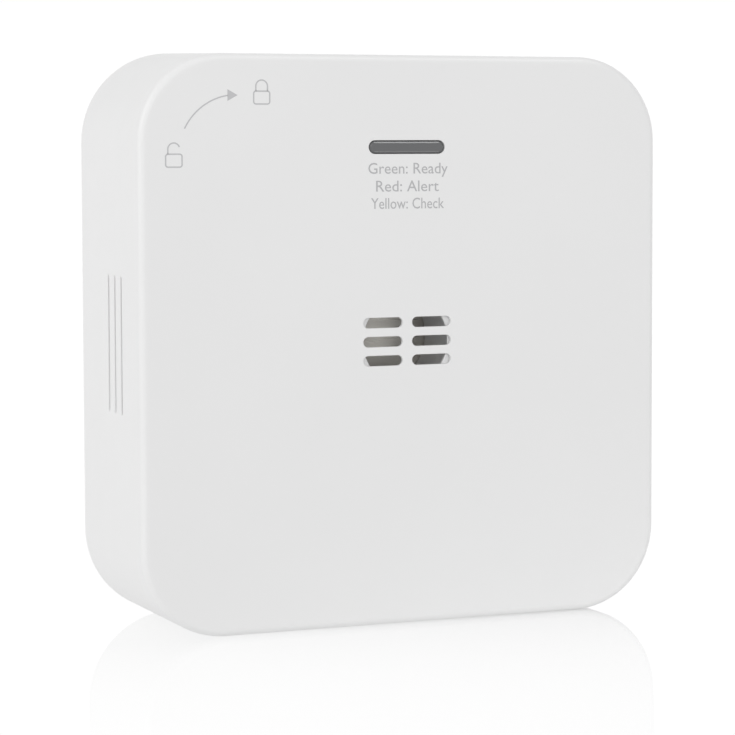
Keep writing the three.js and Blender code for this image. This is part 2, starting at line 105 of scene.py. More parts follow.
BUTTON_GAP = 0.15
CASE_POSTS = ((38, 39), (-38, 39), (-38, -39), (38, -39))
BOARD_POSTS = ((-37, -10), (37, -10), (-24, 37.5))
HOOK_ANGLES = (0, 62, 118, 180)
HOOK_HALF_ANGLE = 5
TWIST = 14
PIVOT_HEIGHT = 1.7  # how far the pivot boss stands out of the rear cover
COVER_BACK = PIVOT_TOP - PIVOT_HEIGHT
COVER_FRONT = 13.1
PLATE_FRONT = 15.3


# ---------------------------------------------------------------- mesh building
def rounded_outline(width, height, radius, x=0.0, z=0.0, steps=8):
    """Points of a rounded rectangle in the X-Z plane, each corner an arc of so many steps."""
    same_point = 1e-4
    points = []
    for corner in range(4):
        side_x = 1 if corner in (0, 3) else -1
        side_z = 1 if corner in (0, 1) else -1
        centre_x = x + side_x * (width / 2 - radius)
        centre_z = z + side_z * (height / 2 - radius)
        for step in range(steps + 1):
            angle = math.pi / 2 * (corner + step / steps)
            point = (centre_x + radius * math.cos(angle), centre_z + radius * math.sin(angle))
            if not points or math.dist(point, points[-1]) > same_point:
                points.append(point)
    if math.dist(points[0], points[-1]) < same_point:
        points.pop()
    return points


def pill_outline(length, height, x=0.0, z=0.0, steps=10):
    """A bar with round ends."""
    return rounded_outline(length, height, min(length, height) / 2, x, z, steps)


def arc(x, z, radius, start, stop, steps=16):
    """Points on a circle from one angle to another, in degrees."""
    angles = [math.radians(start + (stop - start) * i / steps) for i in range(steps + 1)]
    return [(x + radius * math.cos(a), z + radius * math.sin(a)) for a in angles]


def ring_band(inner, outer, start, stop, steps=10):
    """The outline of a band of a ring between two angles in degrees."""
    return arc(0, 0, outer, start, stop, steps) + arc(0, 0, inner, stop, start, steps)


def add_loft(mesh, rings):
    """Joins rings of equally many points, given as (x, y, z), into one closed skin."""
    rows = [[mesh.verts.new(point) for point in ring] for ring in rings]
    for near, far in zip(rows, rows[1:]):
        for i in range(len(near)):
            j = (i + 1) % len(near)
            mesh.faces.new((near[i], near[j], far[j], far[i]))
    mesh.faces.new(rows[0][::-1])
    mesh.faces.new(rows[-1])


def add_prism(mesh, outline, y0, y1):
    """A prism along Y. The outline's points are (x, z)."""
    add_loft(mesh, [[(x, y, z) for x, z in outline] for y in (y0, y1)])


def add_side_prism(mesh, outline, x0, x1):
    """A prism along X. The outline's points are (y, z)."""
    add_loft(mesh, [[(x, y, z) for y, z in outline] for x in (x0, x1)])


def add_turned(mesh, profile, x=0.0, z=0.0, steps=64):
    """Turns (radius, y) points about the Y line at (x, z). A profile that starts off that line is closed."""
    rows = []
    for step in range(steps):
        angle = 2 * math.pi * step / steps
        ring = [(x + r * math.cos(angle), y, z + r * math.sin(angle)) for r, y in profile]
        rows.append([mesh.verts.new(point) for point in ring])
    count = len(profile)
    on_axis = profile[0][0] == 0
    for i in range(steps):
        a, b = rows[i], rows[(i + 1) % steps]
        for j in range(count - 1 if on_axis else count):
            k = (j + 1) % count
            mesh.faces.new((a[j], a[k], b[k], b[j]))
    bmesh.ops.remove_doubles(mesh, verts=mesh.verts, dist=1e-5)


def make_piece(name, mesh, material, lift=AXIS_Z):
    """A Blender object from a mesh drawn in millimetres about the twist axis."""
    bmesh.ops.recalc_face_normals(mesh, faces=mesh.faces)
    place = Matrix.Scale(MM, 4) @ Matrix.Translation((0, 0, lift))
    bmesh.ops.transform(mesh, matrix=place, verts=mesh.verts)
    data = bpy.data.meshes.new(name)
    mesh.to_mesh(data)
    mesh.free()
    piece = bpy.data.objects.new(name, data)
    bpy.context.scene.collection.objects.link(piece)
    if material:
        data.materials.append(material)
    return piece


def cut(piece, tool_mesh, operation="DIFFERENCE"):
    """Cuts or joins closed solids, drawn in millimetres, and applies the result to the piece's mesh."""
    tool = make_piece("tool", tool_mesh, None)
    change = piece.modifiers.new("change", "BOOLEAN")
    change.operation = operation
    change.solver = "EXACT"
    change.object = tool
    graph = bpy.context.evaluated_depsgraph_get()
    made = bpy.data.meshes.new_from_object(piece.evaluated_get(graph))
    piece.modifiers.remove(change)
    old = piece.data
    piece.data = made
    bpy.data.meshes.remove(old)
    bpy.data.objects.remove(tool)


def round_edges(piece, chosen, width):
    """Rounds the edges for which chosen(edge) is true. The edge's vertices are in metres."""
    same_place = 1e-7
    mesh = bmesh.new()
    mesh.from_mesh(piece.data)
    bmesh.ops.remove_doubles(mesh, verts=mesh.verts, dist=same_place)
    bmesh.ops.dissolve_degenerate(mesh, dist=same_place, edges=mesh.edges)
    edges = [edge for edge in mesh.edges if chosen(edge)]
    bmesh.ops.bevel(
        mesh, geom=edges, offset=width * MM, offset_type="OFFSET", segments=3, profile=0.5,
        affect="EDGES", clamp_overlap=True, loop_slide=True,
    )
    mesh.to_mesh(piece.data)
    mesh.free()


def smooth_faces(piece, sharp_degrees):
    """Smooth shading, broken at edges sharper than the angle."""
    for face in piece.data.polygons:
        face.use_smooth = True
    piece.data.set_sharp_from_angle(angle=math.radians(sharp_degrees))


def shade(piece):
    """Smooth shading that keeps flat faces flat."""
    smooth_faces(piece, 35)
    weigh = piece.modifiers.new("weigh normals", "WEIGHTED_NORMAL")
    weigh.mode = "FACE_AREA"
    weigh.weight = 100
    weigh.keep_sharp = True


def soften(piece, width):
    """Rounds every sharp edge a little, as a mould leaves it."""
    bevel = piece.modifiers.new("soft edges", "BEVEL")
    bevel.width = width * MM
    bevel.segments = 2
    bevel.limit_method = "ANGLE"
    bevel.angle_limit = math.radians(40)
    bevel.harden_normals = True
    smooth_faces(piece, 60)


# ---------------------------------------------------------------- materials
# the scale of each pattern, on coordinates in metres
TONE_SCALE = 30
GLOSS_SCALE = 220
METAL_SCALE = 1500
LAMP_SCALE = 800
WEAVE_SCALE = 700
TRACK_SCALE = 180
# the height of each relief, in metres
GRAIN_RELIEF = 0.00002
WEAVE_RELIEF = 0.0001
TRACK_RELIEF = 0.00003


def shader(name):
    material = bpy.data.materials.new(name)
    material.use_nodes = True
    return material, material.node_tree, material.node_tree.nodes["Principled BSDF"]


def object_noise(tree, scale, detail=2.0, stretch=(1, 1, 1)):
    """Noise fixed to the object, with about scale features a metre."""
    place = tree.nodes.new("ShaderNodeTexCoord")
    mapping = tree.nodes.new("ShaderNodeMapping")
    mapping.inputs["Scale"].default_value = stretch
    noise = tree.nodes.new("ShaderNodeTexNoise")
    noise.inputs["Scale"].default_value = scale
    noise.inputs["Detail"].default_value = detail
    tree.links.new(place.outputs["Object"], mapping.inputs["Vector"])
    tree.links.new(mapping.outputs["Vector"], noise.inputs["Vector"])
    return noise.outputs["Fac"]


def blend_colours(tree, factor, low, high):
    """A colour between low and high, by a factor from 0 to 1."""
    mix = tree.nodes.new("ShaderNodeMix")
    mix.data_type = "RGBA"
    mix.inputs["A"].default_value = (*low, 1)
    mix.inputs["B"].default_value = (*high, 1)
    tree.links.new(factor, mix.inputs["Factor"])
    return mix.outputs["Result"]


def map_range(tree, value, source, target):
    """Maps a value from one (low, high) range onto another and keeps it there."""
    remap = tree.nodes.new("ShaderNodeMapRange")
    remap.inputs["From Min"].default_value, remap.inputs["From Max"].default_value = source
    remap.inputs["To Min"].default_value, remap.inputs["To Max"].default_value = target
    tree.links.new(value, remap.inputs["Value"])
    return remap.outputs["Result"]


def spread(tree, noise, low, high):
    """Maps noise, which keeps to about 0.3 to 0.7, onto low to high."""
    return map_range(tree, noise, (0.3, 0.7), (low, high))


def tint(tree, surface, factor, low, high):
    """Colours the surface between low and high, by a factor from 0 to 1."""
    tree.links.new(blend_colours(tree, factor, low, high), surface.inputs["Base Color"])


def add_bump(tree, surface, height, strength, distance):
    bump = tree.nodes.new("ShaderNodeBump")
    bump.inputs["Strength"].default_value = strength
    bump.inputs["Distance"].default_value = distance
    tree.links.new(height, bump.inputs["Height"])
    tree.links.new(bump.outputs["Normal"], surface.inputs["Normal"])


def moulded_plastic(name, colour, roughness, grain=3500, depth=0.12, specular=0.5):
    """Plastic with a fine moulded grain, and faint broad differences of tone and gloss."""
    tone_change, gloss_change = 0.015, 0.03
    material, tree, surface = shader(name)
    darker = [channel * (1 - tone_change) for channel in colour]
    tint(tree, surface, spread(tree, object_noise(tree, TONE_SCALE, 3), 0, 1), darker, colour)
    noise = object_noise(tree, GLOSS_SCALE, 2)
    gloss = spread(tree, noise, roughness - gloss_change, roughness + gloss_change)
    tree.links.new(gloss, surface.inputs["Roughness"])
    add_bump(tree, surface, object_noise(tree, grain, 2), depth, GRAIN_RELIEF)
    surface.inputs["Specular IOR Level"].default_value = specular
    return material


def worn_metal(name, dark, light, roughness, stretch=(1, 1, 1)):
    """Plain or brushed metal. A stretch much below 1 on one axis draws the brushing out along it."""
    material, tree, surface = shader(name)
    marks = object_noise(tree, METAL_SCALE, 3, stretch)
    tint(tree, surface, spread(tree, marks, 0, 1), dark, light)
    tree.links.new(spread(tree, marks, roughness - 0.05, roughness + 0.08), surface.inputs["Roughness"])
    add_bump(tree, surface, marks, 0.08, GRAIN_RELIEF)
    surface.inputs["Metallic"].default_value = 1.0
    return material


def woven_metal(name):
    """Fine woven steel: two crossed sets of wires, with painted shade in the gaps between them, where the
    real mesh is open.
    """
    material, tree, surface = shader(name)
    place = tree.nodes.new("ShaderNodeTexCoord")
    heights = []
    for direction in ("Y", "Z"):
        wires = tree.nodes.new("ShaderNodeTexWave")
        wires.bands_direction = direction
        wires.inputs["Scale"].default_value = WEAVE_SCALE
        tree.links.new(place.outputs["Object"], wires.inputs["Vector"])
        heights.append(wires.outputs["Fac"])
    wires_and_gap_shade = math_node(tree, "MAXIMUM", *heights)
    # the dark grey in the gaps is painted shade; the light grey is the wires' own colour
    tint(tree, surface, wires_and_gap_shade, (0.2, 0.2, 0.2), (0.72, 0.72, 0.72))
    add_bump(tree, surface, wires_and_gap_shade, 0.5, WEAVE_RELIEF)
    surface.inputs["Metallic"].default_value = 0.6
    surface.inputs["Roughness"].default_value = 0.45
    return material


def circuit_green(name):
    """Solder mask over copper tracks: a grid of fine lines, lighter than the cells between them."""
    material, tree, surface = shader(name)
    place = tree.nodes.new("ShaderNodeTexCoord")
    tracks = tree.nodes.new("ShaderNodeTexBrick")
    tracks.inputs["Scale"].default_value = TRACK_SCALE
    tracks.inputs["Mortar Size"].default_value = 0.03
    tracks.inputs["Color1"].default_value = (0.010, 0.085, 0.035, 1)
    tracks.inputs["Color2"].default_value = (0.012, 0.1, 0.04, 1)
    tracks.inputs["Mortar"].default_value = (0.03, 0.2, 0.08, 1)
    tree.links.new(place.outputs["Object"], tracks.inputs["Vector"])
    tree.links.new(tracks.outputs["Color"], surface.inputs["Base Color"])
    add_bump(tree, surface, tracks.outputs["Fac"], 0.3, TRACK_RELIEF)
    surface.inputs["Roughness"].default_value = 0.3
    return material


def lamp_plastic(name, colour):
    """The clear tinted plastic of a lamp."""
    tone_change = 0.15
    material, tree, surface = shader(name)
    darker = [channel * (1 - tone_change) for channel in colour]
    tint(tree, surface, object_noise(tree, LAMP_SCALE), darker, colour)
    surface.inputs["Roughness"].default_value = 0.12
    surface.inputs["Coat Weight"].default_value = 0.5
    return material


def math_node(tree, operation, first, second=None):
    """One step of arithmetic between numbers or sockets."""
    node = tree.nodes.new("ShaderNodeMath")
    node.operation = operation
    for socket, value in zip(node.inputs, (first, second)):
        if value is None:
            continue
        if isinstance(value, (int, float)):
            socket.default_value = value
        else:
            tree.links.new(value, socket)
    return node.outputs[0]


FINISHES = {
    "housing_white": moulded_plastic("white_moulding", (0.83, 0.83, 0.83), 0.42),
    "inner_white": moulded_plastic("inner_moulding", (0.78, 0.78, 0.765), 0.5, grain=2500, depth=0.2),
    "smoked_lens": moulded_plastic("smoked_plastic", (0.125, 0.127, 0.131), 0.16, depth=0.02),
    "lamp_green": lamp_plastic("green_lamp", (0.2, 0.63, 0.32)),
    "lamp_red": lamp_plastic("red_lamp", (0.69, 0.2, 0.2)),
    "lamp_yellow": lamp_plastic("yellow_lamp", (0.78, 0.65, 0.2)),
    "board_green": circuit_green("solder_mask"),
    "black_plastic": moulded_plastic("black_moulding", (0.014, 0.014, 0.016), 0.4, depth=0.25),
    "sensor_metal": worn_metal("plated_can", (0.45, 0.45, 0.46), (0.58, 0.58, 0.59), 0.28, (1, 1, 0.05)),
    "cell_sleeve": moulded_plastic("cell_wrapper", (0.055, 0.17, 0.27), 0.25, depth=0.04),
    "steel": worn_metal("nickel_plate", (0.48, 0.48, 0.49), (0.6, 0.6, 0.61), 0.25),
    "disc_metal": worn_metal("nickel_silver", (0.62, 0.6, 0.56), (0.68, 0.66, 0.62), 0.3, (0.05, 1, 1)),
    "copper": worn_metal("enamelled_copper", (0.4, 0.12, 0.03), (0.55, 0.2, 0.06), 0.3, (1, 0.05, 1)),
    "ceramic": moulded_plastic("silvered_ceramic", (0.5, 0.49, 0.47), 0.35, grain=5000, depth=0.3),
    "foam": moulded_plastic("cell_foam", (0.04, 0.04, 0.042), 0.95, grain=1800, depth=0.8, specular=0.2),
    "lead_white": moulded_plastic("white_insulation", (0.66, 0.64, 0.6), 0.35, depth=0.05),
    "lead_red": moulded_plastic("red_insulation", (0.45, 0.02, 0.013), 0.35, depth=0.05),
    "lead_black": moulded_plastic("black_insulation", (0.02, 0.02, 0.022), 0.35, depth=0.05),
}
WOVEN = woven_metal("woven_steel")
INK = moulded_plastic("grey_print", (0.47, 0.47, 0.48), 0.55)
SYMBOL_INK = moulded_plastic("light_grey_print", (0.53, 0.53, 0.54), 0.55)
SLOT_OF = {part["node"]: part["material_slot"] for part in frame["record"]["subparts"]}


def finish_of(node):
    return FINISHES[SLOT_OF[node]]


def finish_piece(piece, node, body="detector"):
    """The piece stands for a node, which it hides, and moves with its body."""
    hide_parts(node)
    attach(piece, body)


# ---------------------------------------------------------------- housing
def housing_ring(inset, y):
    """The drafted housing's outline at depth y, drawn in by inset."""
    move = max(0.0, y - FRONT_Y) * DRAFT - inset
    width, height = FRONT_WIDTH + 2 * move, FRONT_HEIGHT + 2 * move
    return [(x, y, z) for x, z in rounded_outline(width, height, CORNER_RADIUS + move, steps=20)]


def housing_shell():
    """Front and sides in one moulding, open towards the wall."""
    fillet_steps, flat_band, inner_chamfer = 8, 0.5, 1
    rings = [housing_ring(FRONT_FILLET + band, FACE_Y) for band in (flat_band, 0.0)]
    for step in range(1, fillet_steps + 1):
        angle = math.pi / 2 * step / fillet_steps
        inset = FRONT_FILLET * (1 - math.sin(angle))
        rings.append(housing_ring(inset, FACE_Y + FRONT_FILLET * (1 - math.cos(angle))))
    lip = RIM_ROUNDING
    rings.append(housing_ring(0.0, RIM_Y - lip))
    rings.append(housing_ring(0.3 * lip, RIM_Y - 0.3 * lip))
    rings.append(housing_ring(lip, RIM_Y))
    rings.append(housing_ring(WALL - lip, RIM_Y))
    rings.append(housing_ring(WALL, RIM_Y - lip))
    rings.append(housing_ring(WALL, FRONT_Y + WALL + inner_chamfer))
    rings.append(housing_ring(WALL + inner_chamfer, FRONT_Y + WALL))
    mesh = bmesh.new()
    add_loft(mesh, rings)
    return mesh


def slot_pocket():
    """The round pocket that thins the front wall over the sounder."""
    mesh = bmesh.new()
    floor = FRONT_Y + SLOT_SKIN
    add_turned(mesh, [(0, floor), (SLOT_POCKET_RADIUS, floor), (SLOT_POCKET_RADIUS, 0), (0, 0)])
    return mesh


def add_posts(mesh, places, radius, hole, top, bottom):
    """Posts on the inside of the front wall, each with a blind hole, from its top to bottom, for a screw."""
    foot = FRONT_Y + WALL - 0.5
    profile = [(0, foot), (radius, foot), (radius, top), (hole, top), (hole, bottom), (0, bottom)]
    for x, z in places:
        add_turned(mesh, profile, x, z, 32)


def screw_posts():
    """The posts for the case screws and for the board screws."""
    mesh = bmesh.new()
    add_posts(mesh, CASE_POSTS, radius=3.4, hole=1.5, top=11.3, bottom=1.5)
    add_posts(mesh, BOARD_POSTS, radius=2.8, hole=1.25, top=-0.8, bottom=-8)
    return mesh


def side_x(y):
    """Half the housing's outer width at depth y."""
    return FRONT_WIDTH / 2 + DRAFT * (y - FRONT_Y)


def housing_openings():
    """The solids that cut the indicator window, the sounder slots, the vents and the button's hole."""
    front, behind_window, behind_slots = FRONT_Y - OVERRUN, FRONT_Y + 4, FRONT_Y + 2
    mesh = bmesh.new()
    add_prism(mesh, pill_outline(WINDOW_LENGTH, WINDOW_HEIGHT, 0, WINDOW_Z, 14), front, behind_window)
    for z in SLOT_ROWS:
        for x in (-SLOT_X, SLOT_X):
            add_prism(mesh, pill_outline(SLOT_LENGTH, SLOT_HEIGHT, x, z, 12), front, behind_slots)
    inside, outside = FRONT_WIDTH / 2 - 2 * WALL, side_x(RIM_Y) + OVERRUN
    for y in VENT_DEPTHS:
        outline = pill_outline(VENT_WIDTH, VENT_LENGTH, y, VENT_Z, 6)
        add_side_prism(mesh, outline, -outside, -inside)
        add_side_prism(mesh, outline, inside, outside)
    hole_width, hole_length = BUTTON_WIDTH + 2 * BUTTON_GAP, BUTTON_LENGTH + 2 * BUTTON_GAP
    add_side_prism(mesh, pill_outline(hole_width, hole_length, BUTTON_Y, BUTTON_Z, 14), inside, outside)
    return mesh


def is_sharp(edge):
    """True where the edge's two faces turn by more than SHARP_TURN."""
    return edge.calc_face_angle(0) > SHARP_TURN


def on_front_opening(edge):
    """True for the outer edges of the indicator window and the sounder slots."""
    touching, reach_x, reach_z = 1e-3, 12, 40
    flat = all(abs(v.co.y / MM - FACE_Y) < touching for v in edge.verts)
    inside = all(abs(v.co.x / MM) < reach_x and abs(v.co.z / MM - AXIS_Z) < reach_z for v in edge.verts)
    return flat and inside and is_sharp(edge)


def on_side_opening(edge):
    """True for the outer edges of the vents and the button's hole."""
    touching, first_y, last_y = 2e-3, -12, 6
    flat = all(abs(abs(v.co.x / MM) - side_x(v.co.y / MM)) < touching for v in edge.verts)
    inside = all(first_y < v.co.y / MM < last_y for v in edge.verts)
    return flat and inside and is_sharp(edge)


def build_housing():
    piece = make_piece("housing", housing_shell(), finish_of("front_housing"))
    cut(piece, slot_pocket())
    cut(piece, screw_posts(), "UNION")
    cut(piece, housing_openings())
    round_edges(piece, on_front_opening, FRONT_OPENING_ROUNDING)
    round_edges(piece, on_side_opening, SIDE_OPENING_ROUNDING)
    shade(piece)
    finish_piece(piece, "front_housing")


def build_lens():
    """A smoked bar with a chamfer and a rounded edge, a little below the front face, and a flange behind."""
    top, body_end, back = FRONT_Y + 0.1, FRONT_Y + 2.2, FRONT_Y + 3.1
    face_gap, body_gap, flange_grow = 0.06, 0.12, 2
    edge = ((0.47, 0), (0.45, 0.005), (0.25, 0.12), (0.22, 0.14), (0.1, 0.24), (0.02, 0.38), (0, 0.5))
    levels = [(-2 * inset - face_gap, top + depth) for inset, depth in edge]
    levels += [(-body_gap, body_end)] + [(flange_grow - body_gap, y) for y in (body_end, back)]
    rings = []
    for grow, y in levels:
        outline = pill_outline(WINDOW_LENGTH + grow, WINDOW_HEIGHT + grow, 0, WINDOW_Z, 14)
        rings.append([(x, y, z) for x, z in outline])
    mesh = bmesh.new()
    add_loft(mesh, rings)
    piece = make_piece("lens_bar", mesh, finish_of("indicator_lens"))
    shade(piece)
    finish_piece(piece, "indicator_lens")


# ---------------------------------------------------------------- button, sounder and leads
def build_button():
    """A pill with a rounded edge and a shallow dish for the fingertip, and a flange inside the wall."""
    face = button_high.x
    flange_inside, flange_outside, flange_grow = 45.7, 46.75, 1.2
    rounding, rim, dish_width, dish_depth = 0.5, 0.8, 1.5, 0.3
    stem_width, stem_inside, stem_outside = 3.6, 44.4, 46
    steps = 5
    levels = [(-flange_grow, flange_inside), (-flange_grow, flange_outside)]
    levels += [(0, flange_outside), (0, face - rounding)]
    for step in range(1, steps + 1):
        angle = math.pi / 2 * step / steps
        levels.append((rounding * (1 - math.cos(angle)), face - rounding + rounding * math.sin(angle)))
    for step in range(1, steps + 1):
        share = step / steps
        levels.append((rim + dish_width * share, face - dish_depth * math.sin(math.pi / 2 * share)))
    rings = []
    for inset, x in levels:
        outline = pill_outline(BUTTON_WIDTH - 2 * inset, BUTTON_LENGTH - 2 * inset, BUTTON_Y, BUTTON_Z, 14)
        rings.append([(x, y, z) for y, z in outline])
    mesh = bmesh.new()
    add_loft(mesh, rings)
    stem = bmesh.new()
    outline = pill_outline(stem_width, stem_width, BUTTON_Y, BUTTON_Z, 8)
    add_side_prism(stem, outline, stem_inside, stem_outside)
    piece = make_piece("button_cap", mesh, finish_of("test_button"))
    cut(piece, stem, "UNION")
    shade(piece)
    finish_piece(piece, "test_button", "test_button")


def build_turned(name, node, profile):
    """One piece turned about the twist axis."""
    mesh = bmesh.new()
    add_turned(mesh, profile, steps=96)
    piece = make_piece(name, mesh, finish_of(node))
    shade(piece)
    finish_piece(piece, node)


def build_sounder():
    """The cup behind the slots with its inner tube, and the metal disc with its silvered ceramic."""
    front, back = chamber_low.y, chamber_high.y
    plate_back, seat = front + 1.1, disc_low.y - 0.2
    mouth, tube_inside, tube_outside, cup_inside, cup_outside = 8.0, 8.9, 10.1, 14.2, 15.3
    mouth_bevel, cup_bevel = 0.12, 0.15
    build_turned("sounder_cup", "sounder_chamber", [
        (mouth, front + mouth_bevel), (mouth + mouth_bevel, front), (cup_outside - cup_bevel, front),
        (cup_outside, front + cup_bevel), (cup_outside, back), (cup_inside, back), (cup_inside, plate_back),
        (tube_outside, plate_back), (tube_outside, seat), (tube_inside, seat), (tube_inside, plate_back),
        (mouth, front + 0.4),
    ])
    front, back, radius = disc_low.y, disc_high.y, 13.5
    build_turned("metal_disc", "sounder_disc", [(0, front), (radius, front), (radius, back), (0, back)])
    front, back, radius, bevel = ceramic_low.y, ceramic_high.y, 8.2, 0.1
    build_turned("ceramic_disc", "sounder_ceramic", [
        (0, front), (radius, front), (radius, back - bevel), (radius - bevel, back), (0, back),
    ])


def smooth_path(points, steps=8):
    """A Catmull-Rom curve through the points."""
    places = [Vector(point) for point in points]
    places = [2 * places[0] - places[1]] + places + [2 * places[-1] - places[-2]]
    path = []
    for a, b, c, d in zip(places, places[1:], places[2:], places[3:]):
        for step in range(steps):
            t = step / steps
            bend = (2 * a - 5 * b + 4 * c - d) * t * t + (3 * b - a - 3 * c + d) * t ** 3
            path.append(0.5 * (2 * b + (c - a) * t + bend))
    path.append(places[-2])
    return path


def add_tube(mesh, path, radius, sides=12):
    """A round bar along a path, its section carried on from point to point so that it doesn't twist."""
    across = (path[1] - path[0]).orthogonal().normalized()
    angles = [2 * math.pi * side / sides for side in range(sides)]
    rings = []
    for i, place in enumerate(path):
        along = (path[min(i + 1, len(path) - 1)] - path[max(i - 1, 0)]).normalized()
        across = (across - along * across.dot(along)).normalized()
        other = along.cross(across)
        rings.append([place + radius * (math.cos(a) * across + math.sin(a) * other) for a in angles])
    add_loft(mesh, rings)


# each lead's radius and route
WIRES = {
    "sounder_lead_signal": (0.36, ((1, -2.35, 0.5), (2.6, -2.3, 0.5), (4.2, -1.6, 0.5), (5.6, -1.1, 0.5))),
    "sounder_lead_ground": (0.36, ((11.9, -2.72, -1.5), (12.4, -2.5, 0), (12.4, -1.7, 1.6), (11.9, -1.1, 3))),
    "battery_lead_black": (0.68, (
        (-27.6, -4.9, -42), (-27.4, -5.2, -37.5), (-25.2, -5.3, -30), (-24.5, -5.3, -20), (-24.5, -4.4, -14),
        (-24.5, -1.6, -11.5),
    )),
    "battery_lead_red": (0.68, (
        (-27.6, -4.9, -26.5), (-27.8, -5.2, -21.5), (-28.6, -4.9, -15.5), (-29, -1.6, -11.5),
    )),
}


def build_wires():
    for node, (radius, points) in WIRES.items():
        mesh = bmesh.new()
        add_tube(mesh, smooth_path(points), radius)
        piece = make_piece(f"{node}_round", mesh, finish_of(node))
        shade(piece)
        finish_piece(piece, node)


# ---------------------------------------------------------------- back: plate, chassis, screws and cells
def lay_pill(length, height, x, z):
    """A bar with round ends at (x, z), lying across the line to the middle."""
    return pill_outline(length, height, x, z) if z else pill_outline(height, length, x, z)


def build_plate():
    """The wall plate: hollow at the back, with a hub, four screw pads and four hooks."""
    front, back = PLATE_FRONT, PLATE_BACK
    through = (front - OVERRUN, back + OVERRUN)
    side, corner, edge_wall, hollow_depth = 80, 18, 3, 0.8
    hub, bore, raised_front = 12, 9, front + 0.5
    pad, slot, head, head_depth, screw_distance = (18, 12), (11, 4.6), (15, 9), 1.1, 26
    hook_inner, hook_outer, foot_outer = 32.9, 35.1, 37.4
    foot_front, foot_back = 11.6, 12.8
    mesh = bmesh.new()
    add_prism(mesh, rounded_outline(side, side, corner, steps=16), front, back)
    piece = make_piece("wall_plate", mesh, finish_of("mounting_plate"))
    room = side - 2 * edge_wall
    hollow = bmesh.new()
    outline = rounded_outline(room, room, corner - edge_wall, steps=16)
    add_prism(hollow, outline, back - hollow_depth, back + OVERRUN)
    cut(piece, hollow)
    raised, feet = bmesh.new(), bmesh.new()
    screws, heads = bmesh.new(), bmesh.new()
    add_turned(raised, [(0, raised_front), (hub, raised_front), (hub, back), (0, back)])
    add_turned(screws, [(0, through[0]), (bore, through[0]), (bore, through[1]), (0, through[1])])
    for right, up in ((1, 0), (-1, 0), (0, 1), (0, -1)):
        place = (right * screw_distance, up * screw_distance)
        add_prism(raised, lay_pill(*pad, *place), raised_front, back)
        add_prism(screws, lay_pill(*slot, *place), *through)
        add_prism(heads, lay_pill(*head, *place), front - OVERRUN, front + head_depth)
    for angle in HOOK_ANGLES:
        sides = (angle - HOOK_HALF_ANGLE, angle + HOOK_HALF_ANGLE)
        add_prism(raised, ring_band(hook_inner, hook_outer, *sides), foot_back - 0.3, front + 0.2)
        add_prism(feet, ring_band(hook_inner, foot_outer, *sides), foot_front, foot_back)
    cut(piece, raised, "UNION")
    cut(piece, feet, "UNION")
    cut(piece, screws)
    cut(piece, heads)
    soften(piece, 0.25)
    finish_piece(piece, "mounting_plate", "mounting_plate")


def cover_shell():
    """The rear cover's panel with its skirt, hollow towards the front."""
    width, height, radius = 94.6, 97.6, 13.2
    skirt, wall = 3.0, 1.3
    outer = (width, height, radius)
    inner = (width - 2 * wall, height - 2 * wall, radius - wall)
    rim = COVER_FRONT - skirt
    rings = []
    for size, y in ((outer, COVER_BACK), (outer, rim), (inner, rim), (inner, COVER_FRONT)):
        rings.append([(x, y, z) for x, z in rounded_outline(*size, steps=12)])
    mesh = bmesh.new()
    add_loft(mesh, rings)
    return mesh


def pivot_boss():
    """The boss that turns in the plate's bore, with a shallow recess and rounded rims."""
    radius, bore = 8.6, 6.4
    foot, floor = COVER_BACK - 0.2, COVER_BACK + 0.05
    mesh = bmesh.new()
    rim = ((0.0, 0.15), (0.07, 0.04), (0.2, 0.0))
    outside = [(radius - inset, PIVOT_TOP - drop) for inset, drop in rim]
    inside = [(bore + inset, PIVOT_TOP - drop) for inset, drop in reversed(rim)]
    add_turned(mesh, [(0, foot), (radius, foot), *outside, *inside, (bore, floor), (0, floor)])
    return mesh


def build_chassis():
    """The housing's rear cover with the open cell bay, screw cups, pivot boss and twist-lock slots."""
    front, back = COVER_FRONT, COVER_BACK
    half, low, high, floor, bay_wall = 29.2, -47.1, -16.9, -2.6, 1.2
    cup, head, shank = 4.4, 3.3, 1.7
    slot_inner, slot_outer, mouth_inner, mouth_outer = 32.5, 35.5, 35.0, 37.9
    tag_width, tag_height, tag_x, tag_places = 1.1, 3.2, -half + 0.45, (-41, -25.5)
    piece = make_piece("rear_cover", cover_shell(), finish_of("rear_chassis"))
    outside = bmesh.new()
    size = (2 * (half + bay_wall), high - low + 2 * bay_wall)
    outline = rounded_outline(*size, SQUARE_CORNER, 0, (low + high) / 2, 1)
    add_prism(outside, outline, floor - bay_wall, front + 0.2)
    cup_low, cup_high = front - 1.6, front + 0.2
    for x, z in CASE_POSTS:
        add_turned(outside, [(0, cup_low), (cup, cup_low), (cup, cup_high), (0, cup_high)], x, z, 40)
    cut(piece, outside, "UNION")
    cut(piece, pivot_boss(), "UNION")
    rooms, deeper = bmesh.new(), bmesh.new()
    seat, deep, outer = front - 0.3, front - 3, back + OVERRUN
    add_prism(rooms, rounded_outline(2 * half, high - low, 0.8, 0, (low + high) / 2, 4), floor, outer)
    for x, z in CASE_POSTS:
        add_turned(rooms, [(0, seat), (head, seat), (head, outer), (0, outer)], x, z, 40)
        add_turned(deeper, [(0, deep), (shank, deep), (shank, front), (0, front)], x, z, 24)
    for z in tag_places:
        tag = rounded_outline(tag_width, tag_height, SQUARE_CORNER, tag_x, z, 1)
        add_prism(deeper, tag, floor - 2, floor + 0.5)
    for angle in HOOK_ANGLES:
        free = angle - TWIST
        slack = HOOK_HALF_ANGLE + 1
        slot = ring_band(slot_inner, slot_outer, free - slack, angle + slack, 16)
        add_prism(rooms, slot, front - OVERRUN, outer)
        mouth = ring_band(mouth_inner, mouth_outer, free - slack, free + slack)
        add_prism(deeper, mouth, front - OVERRUN, outer)
    cut(piece, rooms)
    cut(piece, deeper)
    soften(piece, 0.2)
    finish_piece(piece, "rear_chassis")


